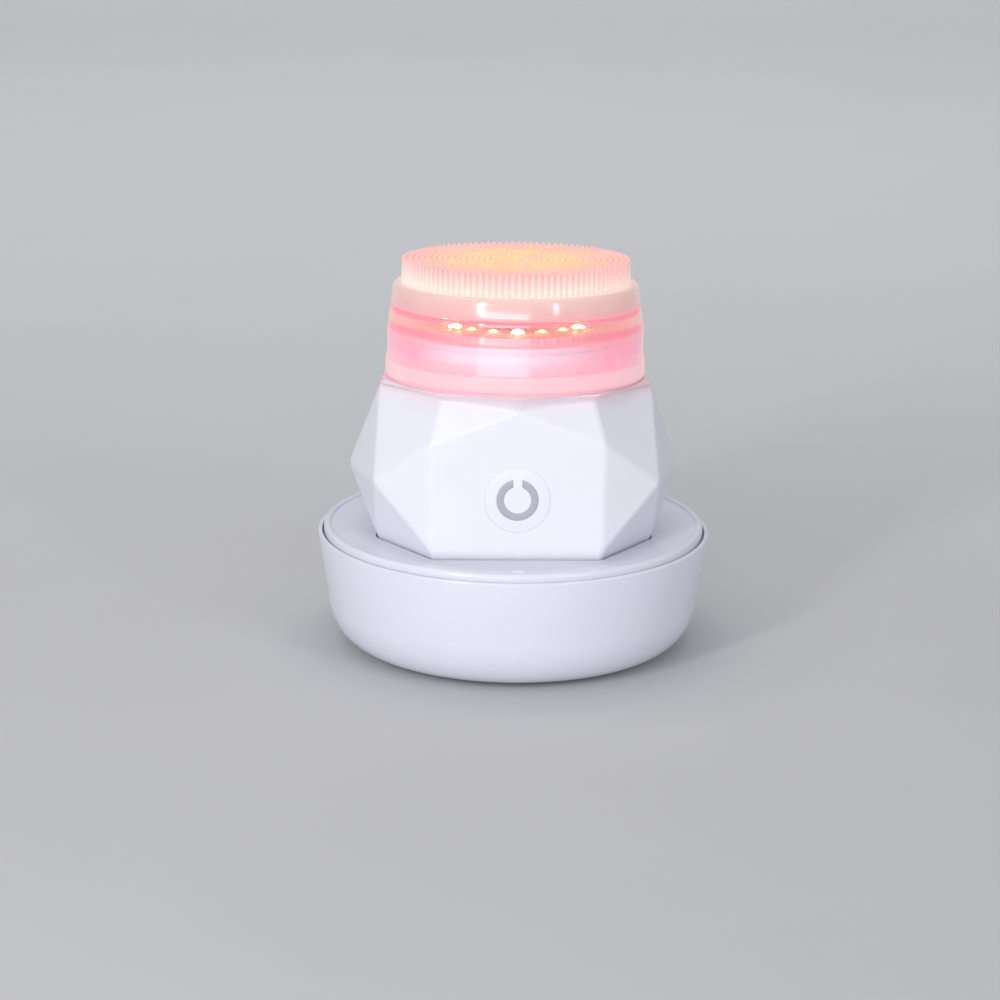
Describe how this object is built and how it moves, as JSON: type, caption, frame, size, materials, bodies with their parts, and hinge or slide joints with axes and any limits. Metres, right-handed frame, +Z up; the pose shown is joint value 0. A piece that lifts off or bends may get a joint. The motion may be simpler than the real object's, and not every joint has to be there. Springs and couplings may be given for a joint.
{
  "type": "facial cleansing brush",
  "caption": "Rechargeable facial cleansing brush: faceted palm handset, lit clear collar and oscillating silicone bristle head, standing in a round charging dock.",
  "frame": {"origin": "on the table, under the centre of the dock", "axes": "+Z up, -Y towards the side with the power button, +X to the right when the button is seen from the front; the handset leans 3 degrees back in its cradle"},
  "size_m": [0.09, 0.09, 0.0909],
  "materials": {
    "dock_white": "satin gloss",
    "body_white": "satin gloss",
    "neck_white": "satin",
    "dark_plastic": "matt",
    "ring_grey": "satin",
    "plunger_red": "matt",
    "clear_collar": "clear, polished",
    "clear_carrier": "clear, polished",
    "light_pipe": "frosted clear",
    "lamp": "diffused",
    "bristle_silicone": "translucent satin",
    "seal_silicone": "matt translucent",
    "foot_rubber": "matt",
    "steel": "brushed",
    "core_steel": "laminated",
    "magnet": "nickel plated",
    "ferrite": "sintered matt",
    "copper_wire": "enamelled",
    "bronze": "sintered",
    "circuit_board": "solder mask",
    "board_white": "white solder mask",
    "battery_wrap": "shrink film"
  },
  "bodies": {
    "dock": {"dock_bowl": "dock_white", "dock_cover": "dock_white", "dock_feet": "foot_rubber", "dock_screws": "steel", "dock_pcb": "circuit_board", "dock_coil": "copper_wire", "dock_ferrite": "ferrite", "dock_light_pipe": "light_pipe", "dock_indicator_led": "lamp", "usb_inlet": "steel"},
    "handset": {"body_shell": "body_white", "base_cap": "body_white", "base_seal": "seal_silicone", "base_screws": "steel", "chassis": "dark_plastic", "battery": "battery_wrap", "main_pcb": "circuit_board", "rx_coil": "copper_wire", "rx_ferrite": "ferrite", "tact_switch": "dark_plastic", "button_seal": "seal_silicone", "neck": "neck_white", "neck_screws": "steel", "drive_frame": "steel", "stator_core": "core_steel", "stator_coils": "copper_wire", "lower_bush": "bronze", "upper_bush": "bronze", "led_board": "board_white", "leds": "lamp", "housing_seal": "seal_silicone", "light_housing": "clear_collar", "shaft_seal": "seal_silicone"},
    "power_button": {"power_button": "body_white", "button_ring": "ring_grey"},
    "switch_plunger": {"switch_plunger": "plunger_red"},
    "drive": {"spindle": "steel", "armature": "core_steel", "armature_magnets": "magnet"},
    "brush_head": {"head_carrier": "clear_carrier", "bristle_pad": "bristle_silicone"}
  },
  "joints": [
    {"name": "handset_lift", "type": "slide", "parent": "dock", "child": "handset", "axis": [0, 0, 1], "range_m": [0, 0.06]},
    {"name": "button_press", "type": "slide", "parent": "handset", "child": "power_button", "axis": [0, 0.9997, -0.0244], "range_m": [0, 0.0005], "stiffness_N_per_m": 800},
    {"name": "switch_press", "type": "slide", "parent": "handset", "child": "switch_plunger", "axis": [0, 0.9997, -0.0244], "range_m": [0, 0.0005]},
    {"name": "head_oscillation", "type": "hinge", "parent": "handset", "child": "drive", "pos_m": [0, 0.0022, 0.05794], "axis": [0, 0.0523, 0.9986], "range_deg": [-8, 8], "stiffness_Nm_per_rad": 0.05},
    {"name": "head_pull_off", "type": "slide", "parent": "drive", "child": "brush_head", "axis": [0, 0.0523, 0.9986], "range_m": [0, 0.03]}
  ],
  "couplings": [
    {"joint": "switch_press", "follows": "button_press", "ratio": 1}
  ]
}
